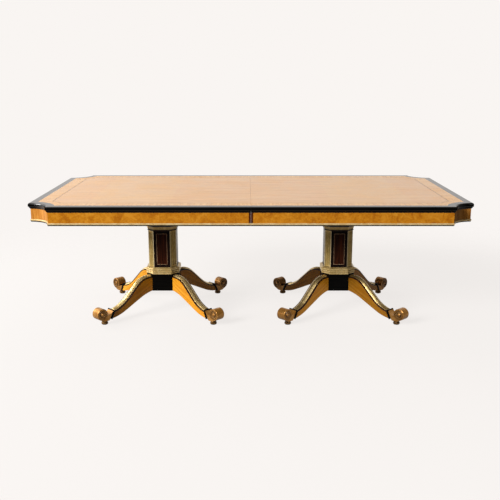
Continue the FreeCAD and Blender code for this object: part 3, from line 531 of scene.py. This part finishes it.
def brass_finish():
    """Brass of the locks, tarnished in patches."""
    material, tree, shader = new_finish("brass", Specular_IOR_Level=0.5)
    place = object_place(tree)
    tarnish = span(tree, noise(tree, place, 120.0, 4.0, 0.6), 0.42, 0.66)
    drawn = put(tree, "Mapping", {"Vector": place, "Scale": (6.0, 1.0, 1.0)}).outputs[0]
    hair = noise(tree, drawn, 700.0, 2.0)
    colour = blend(tree, tarnish, rgb(0.72, 0.52, 0.22), rgb(0.40, 0.24, 0.08))
    colour = tint(tree, colour, hollows(tree, 0.003), 0.6, rgb(0.06, 0.035, 0.012))
    metallic = span(tree, tarnish, 0.0, 1.0, 1.0, 0.75)
    dress(tree, shader, colour, polished(tree, 0.2, 0.42, 60.0), hair, depth=0.00002, metallic=metallic)
    return material


def dull_brass_finish():
    """Brass line that has gone brown in the panel."""
    material, tree, shader = new_finish("dull_brass", Metallic=0.25, Specular_IOR_Level=0.4)
    place = object_place(tree)
    patina = span(tree, noise(tree, place, 60.0, 4.0, 0.6), 0.38, 0.66)
    colour = blend(tree, patina, rgb(0.40, 0.24, 0.13), rgb(0.56, 0.36, 0.21))
    dress(tree, shader, colour, polished(tree, 0.3, 0.5, 60.0), patina, depth=0.00002)
    return material


def secondary_wood_finish():
    """Plain sealed timber of the hidden frame."""
    material, tree, shader = new_finish("secondary_wood", IOR=1.45, Specular_IOR_Level=0.25)
    grain = grain_of(tree, object_place(tree), 0.05, 70.0)
    colour = blend(tree, grain["Streaks"], rgb(0.40, 0.25, 0.13), rgb(0.60, 0.43, 0.26))
    colour = tint(tree, colour, grain["Mottle"], 0.3, rgb(0.47, 0.32, 0.18))
    colour = tint(tree, colour, grain["Pores"], 0.35, rgb(0.22, 0.12, 0.05))
    colour = tint(tree, colour, worn_edges(tree, 0.002), 0.4, rgb(0.28, 0.17, 0.08))
    dress(tree, shader, colour, polished(tree, 0.45, 0.65, 25.0), grain["Streaks"], depth=0.00015)
    return material


def zinc_finish():
    """Zinc-plated steel of the bolts under the top."""
    material, tree, shader = new_finish("bright_zinc", Metallic=1.0, Specular_IOR_Level=0.5)
    place = object_place(tree)
    bloom = span(tree, noise(tree, place, 160.0, 4.0, 0.65), 0.4, 0.68)
    colour = blend(tree, bloom, rgb(0.50, 0.50, 0.52), rgb(0.33, 0.32, 0.31))
    colour = tint(tree, colour, hollows(tree, 0.003), 0.6, rgb(0.06, 0.05, 0.045))
    dress(tree, shader, colour, polished(tree, 0.26, 0.5, 80.0), bloom, depth=0.00003)
    return material


field_veneer = field_veneer_finish()
crossband = crossband_finish()
ebonised = ebonised_finish("ebonised_wood", mirror=0.6, low=0.08, high=0.16)
black_paint = ebonised_finish("black_paint", mirror=0.06, low=0.2, high=0.34)
birdseye = birdseye_finish()
upright_maple = upright_maple_finish()
leg_satinwood = leg_satinwood_finish()
leg_stringing = leg_stringing_finish()
rosewood = rosewood_finish()
gilding = gilding_finish()
crest_gilding = crest_gilding_finish()
cap_gilding = cap_gilding_finish()
antique_gilding = antique_gilding_finish()
bronzed = bronzed_finish()
toned_gilding = toned_gilding_finish()
beaded_gilding = beaded_gilding_finish()
brass = brass_finish()
dull_brass = dull_brass_finish()
secondary_wood = secondary_wood_finish()
zinc = zinc_finish()

FINISHES = {
    field_veneer: ["field_veneer"],
    crossband: ["crossband"],
    ebonised: ["edge_moulding"],
    black_paint: ["string_line", "hub", "leg_collars"],
    leg_stringing: ["leg_strings"],
    birdseye: ["apron_sides", "apron_end"],
    upright_maple: ["apron_corners"],
    leg_satinwood: ["legs"],
    rosewood: ["apron_posts", "column_panels", "column_core"],
    gilding: ["base_moulding"],
    crest_gilding: ["leg_crests"],
    cap_gilding: ["cap_moulding"],
    toned_gilding: ["pilasters"],
    antique_gilding: ["scroll_feet"],
    bronzed: ["foot_pads"],
    beaded_gilding: ["apron_bead"],
    dull_brass: ["panel_lines"],
    brass: ["lock_plates", "lock_keepers", "front_lock_lever", "back_lock_lever"],
    secondary_wood: [
        "top_core", "slide_rails", "bearers", "platform", "centre_slide_rails", "alignment_dowels",
    ],
    zinc: ["pedestal_bolts"],
}


def finish_nodes():
    """Give every node of the frame its finish, on both halves."""
    finish_of = {name: material for material, names in FINISHES.items() for name in names}
    for node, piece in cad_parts.items():
        kind = node.removeprefix("left_").removeprefix("right_")
        piece.data.materials.clear()
        piece.data.materials.append(finish_of[kind])


# Carving on the scroll feet

def volute(mesh, start_radius, step, quarters, thickness):
    """Raised spiral in the XZ plane round the origin, in quarter turns of smaller and smaller radius."""
    taper = (0.9, 0.9, 0.9)
    quarter_turn = math.radians(90)
    radius = start_radius
    centre = Vector((0, 0, 0))
    out = Vector((-1, 0, 0))
    quarter = Matrix.Rotation(quarter_turn, 3, "Y")
    start = Matrix.Translation(out * radius) @ Matrix.Diagonal((thickness, thickness, thickness, 1))
    ring = bmesh.ops.create_circle(mesh, cap_ends=True, radius=1.0, segments=10, matrix=start)["verts"]
    geometry = list(ring[0].link_faces)
    for _ in range(quarters):
        spun = bmesh.ops.spin(
            mesh, geom=geometry, cent=centre, axis=(0, 1, 0),
            angle=quarter_turn, steps=7, use_duplicate=False,
        )
        geometry = [item for item in spun["geom_last"] if isinstance(item, bmesh.types.BMFace)]
        out = quarter @ out
        tip = centre + out * radius
        verts = [vert for face in geometry for vert in face.verts]
        bmesh.ops.scale(mesh, vec=taper, verts=verts, space=Matrix.Translation(-tip))
        centre = centre + out * step
        radius -= step


def volutes(side):
    """Spirals in both hollows of the four scroll feet of one half."""
    mesh = bmesh.new()
    for corner in (45, 135, 225, 315):
        for face in (-1, 1):
            one = bmesh.new()
            volute(one, start_radius=0.0265, step=0.0027, quarters=6, thickness=0.0030)
            if face > 0:
                bmesh.ops.scale(one, vec=(1, -1, 1), verts=one.verts)
            pedestal = Matrix.Translation((side * pedestal_x, 0, 0))
            leg = Matrix.Rotation(math.radians(corner), 4, "Z")
            scroll = Matrix.Translation((scroll_reach, face * scroll_floor, scroll_axis))
            bmesh.ops.transform(one, matrix=pedestal @ leg @ scroll, verts=one.verts)
            bmesh.ops.remove_doubles(one, verts=one.verts, dist=0.00001)
            bmesh.ops.recalc_face_normals(one, faces=one.faces)
            part = bpy.data.meshes.new("volute")
            one.to_mesh(part)
            one.free()
            mesh.from_mesh(part)
            bpy.data.meshes.remove(part)
    return mesh


def new_piece(name, mesh, material, body):
    """Smooth piece of the scene's own, riding on a body."""
    data = bpy.data.meshes.new(name)
    mesh.to_mesh(data)
    mesh.free()
    for face in data.polygons:
        face.use_smooth = True
    data.materials.append(material)
    piece = bpy.data.objects.new(name, data)
    scene.collection.objects.link(piece)
    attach(piece, body)


# Floor, light and camera

def floor():
    """Pale floor that keeps the shadow and fades into the backdrop."""
    radius = 4.5
    drop = 0.0004
    fade_from = 1.7
    fade_to = 3.6
    mesh = bmesh.new()
    level = Matrix.Translation((0, 0, -drop))
    bmesh.ops.create_circle(mesh, cap_ends=True, radius=radius, segments=96, matrix=level)
    data = bpy.data.meshes.new("floor")
    mesh.to_mesh(data)
    mesh.free()
    material = bpy.data.materials.new("pale_floor")
    material.use_nodes = True
    tree = material.node_tree
    tree.nodes.clear()
    place = object_place(tree)
    reach = put(tree, "VectorMath", {0: place}, operation="LENGTH").outputs["Value"]
    fade = span(tree, reach, fade_from, fade_to)
    rays = put(tree, "LightPath").outputs
    seen = sums(tree, "MAXIMUM", rays["Is Camera Ray"], rays["Is Transmission Ray"])
    share = span(tree, axes(tree, place)["Y"], -1.5, -0.3, 0.06, 0.55)
    seen = sums(tree, "MULTIPLY_ADD", rays["Is Glossy Ray"], share, seen)
    matt = put(tree, "BsdfDiffuse", {"Color": rgb(0.12, 0.116, 0.113)}).outputs[0]
    strength = sums(tree, "MULTIPLY", seen, 0.85)
    glow = put(tree, "Emission", {"Color": BACKDROP, "Strength": strength}).outputs[0]
    lit = put(tree, "AddShader", {0: matt, 1: glow}).outputs[0]
    clear = put(tree, "BsdfTransparent").outputs[0]
    both = put(tree, "MixShader", {0: fade, 1: lit, 2: clear}).outputs[0]
    put(tree, "OutputMaterial", {"Surface": both})
    data.materials.append(material)
    piece = bpy.data.objects.new("floor", data)
    scene.collection.objects.link(piece)


def backdrop():
    """Pale backdrop to the eye; in reflections a bright wall at the left and a dim front; and a soft fill."""
    fill = 0.14
    world = bpy.data.worlds.new("backdrop")
    scene.world = world
    world.use_nodes = True
    tree = world.node_tree
    tree.nodes.clear()
    rays = put(tree, "LightPath").outputs
    way = axes(tree, put(tree, "TexCoord").outputs["Generated"])
    front = span(tree, way["Y"], 0.05, -0.75, 1.0, 0.05)
    side = span(tree, way["X"], -0.35, 0.65, 1.0, 0.12)
    back = span(tree, way["Y"], 0.25, 0.85, 0.0, 0.85)
    room = sums(tree, "MULTIPLY", sums(tree, "MAXIMUM", side, back), front)
    wall = span(tree, way["X"], -0.75, -0.25, 2.2, 0.0)
    wall = sums(tree, "MULTIPLY", wall, span(tree, way["Z"], 0.3, 0.5))
    wall = sums(tree, "MULTIPLY", wall, span(tree, way["Y"], 0.55, 0.8, 1.0, 0.0))
    room = sums(tree, "ADD", room, wall)
    mirrored = sums(tree, "MULTIPLY_ADD", rays["Is Glossy Ray"], sums(tree, "SUBTRACT", room, 1.0), 1.0)
    seen = sums(tree, "MAXIMUM", rays["Is Camera Ray"], rays["Is Glossy Ray"])
    seen = sums(tree, "MAXIMUM", seen, rays["Is Transmission Ray"])
    strength = sums(tree, "MULTIPLY_ADD", seen, sums(tree, "SUBTRACT", mirrored, fill), fill)
    glow = put(tree, "Background", {"Color": BACKDROP, "Strength": strength}).outputs[0]
    put(tree, "OutputWorld", {"Surface": glow})


def lamp(name, place, target, size, power, mirrored=True, lights=(), spares=()):
    """Soft rectangular lamp pointed at its target.

    It may show in polished pieces, and it may light only some pieces or spare some.
    """
    data = bpy.data.lights.new(name, "AREA")
    data.shape = "RECTANGLE"
    data.size, data.size_y = size
    data.energy = power
    piece = bpy.data.objects.new(name, data)
    piece.location = place
    piece.rotation_euler = (Vector(target) - Vector(place)).to_track_quat("-Z", "Y").to_euler()
    piece.visible_camera = False
    piece.visible_glossy = mirrored
    scene.collection.objects.link(piece)
    if lights or spares:
        chosen = bpy.data.collections.new(name + "_pieces")
        for node in lights or spares:
            chosen.objects.link(bpy.data.objects[node])
        for entry in chosen.collection_objects:
            entry.light_linking.link_state = "INCLUDE" if lights else "EXCLUDE"
        piece.light_linking.receiver_collection = chosen


def light():
    """Lamps for the light of the photo, which differs from one pedestal to the other."""
    low_kinds = ("legs", "leg_crests", "scroll_feet", "volutes", "foot_pads")
    sheltered = ["right_" + kind for kind in low_kinds]
    bright_kinds = ("scroll_feet", "volutes", "leg_crests", "base_moulding", "edge_moulding")
    bright = ["left_" + kind for kind in bright_kinds]
    crests = ["left_leg_crests"]
    feet = [side + kind for side in ("left_", "right_") for kind in ("scroll_feet", "volutes")]
    middle = (0, 0, 0.4)
    lamp("key", (-13.0, -11.8, 8.0), middle, (8.4, 6.1), 6400.0, mirrored=False, spares=sheltered)
    lamp("front", (-1.0, -8.5, 7.6), (0.55, 0, 0.2), (7.0, 2.0), 1000.0, lights=sheltered)
    lamp("window", (-5.2, 1.6, 2.9), middle, (4.0, 3.5), 175.0, mirrored=False, spares=sheltered)
    lamp("glint", (-5.0, -0.8, 3.4), middle, (2.4, 2.0), 230.0, lights=bright)
    lamp("sheen", (-5.0, -0.8, 3.4), middle, (3.6, 3.0), 1100.0, lights=crests)
    lamp("toe", (-1.0, -8.5, 7.6), (0, 0, 0.1), (5.0, 1.6), 1350.0, lights=feet)
    lamp("fill", (3.6, -4.6, 2.0), (0.3, 0, 0.5), (2.0, 1.6), 6.5)
    lamp("overhead", (-1.0, 0.8, 4.2), (0, 0, 0.7), (3.5, 2.5), 16.0)
    lamp("back", (6.0, 8.0, 5.0), middle, (5.0, 4.0), 200.0, mirrored=False)


def camera():
    """Camera at the photo's viewing angle."""
    data = bpy.data.cameras.new("camera")
    data.lens = 53.78
    data.sensor_width = 36.0
    data.shift_x = 0.0048
    piece = bpy.data.objects.new("camera", data)
    piece.location = (-0.018, -4.555, 1.458)
    piece.rotation_euler = (math.radians(76.64), 0, 0)
    scene.collection.objects.link(piece)
    scene.camera = piece


finish_nodes()
for word, hand in (("left", -1), ("right", 1)):
    new_piece(word + "_volutes", volutes(hand), antique_gilding, word + "_half")
floor()
backdrop()
light()
camera()
